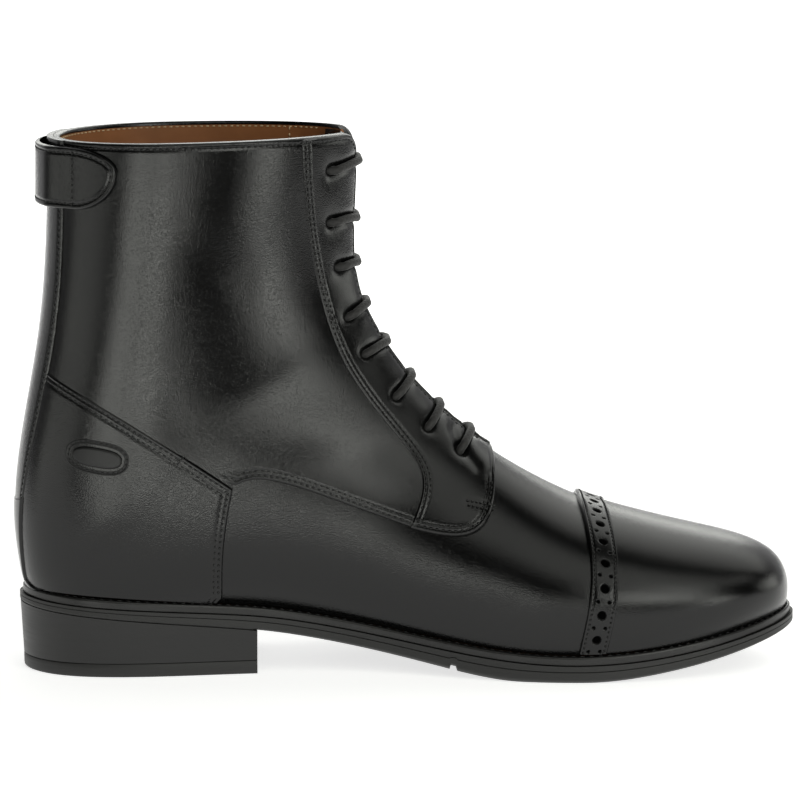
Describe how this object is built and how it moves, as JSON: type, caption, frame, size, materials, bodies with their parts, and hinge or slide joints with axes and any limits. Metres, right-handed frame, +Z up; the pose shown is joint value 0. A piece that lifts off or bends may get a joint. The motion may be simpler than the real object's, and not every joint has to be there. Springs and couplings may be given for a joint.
{
  "type": "lace-up boot",
  "caption": "Ankle-high black leather lace-up riding boot with toe cap, heel counter, eyelet facings, pull loop, welted rubber sole and stacked heel",
  "frame": {"origin": "on the floor under the middle of the boot's bounding box", "axes": "+X from heel to toe, +Y to the lateral (outer) side, +Z up"},
  "size_m": [0.2964, 0.1062, 0.2027],
  "materials": {
    "calf": "smooth semi-gloss black",
    "lining": "matt tan",
    "welt": "polished black edge",
    "heel_leather": "polished black stack",
    "rubber": "satin black",
    "cord": "matt waxed cord"
  },
  "bodies": {
    "root": {"outsole": "rubber", "heel_stack": "heel_leather", "heel_top_piece": "rubber", "welt": "welt", "insole": "lining", "upper": "calf", "tongue": "calf", "toe_cap": "calf", "toe_cap_band": "calf", "quarter_medial": "calf", "quarter_lateral": "calf", "facing_medial": "calf", "facing_lateral": "calf", "counter_medial": "calf", "counter_lateral": "calf", "oval_pad": "calf", "backstay": "calf", "heel_tab": "calf", "pull_loop": "calf", "lace_bar_1": "cord", "lace_bar_2": "cord", "lace_bar_3": "cord", "lace_bar_4": "cord", "lace_bar_5": "cord", "lace_bar_6": "cord", "lace_bar_7": "cord", "lace_bar_8": "cord"}
  },
  "joints": []
}
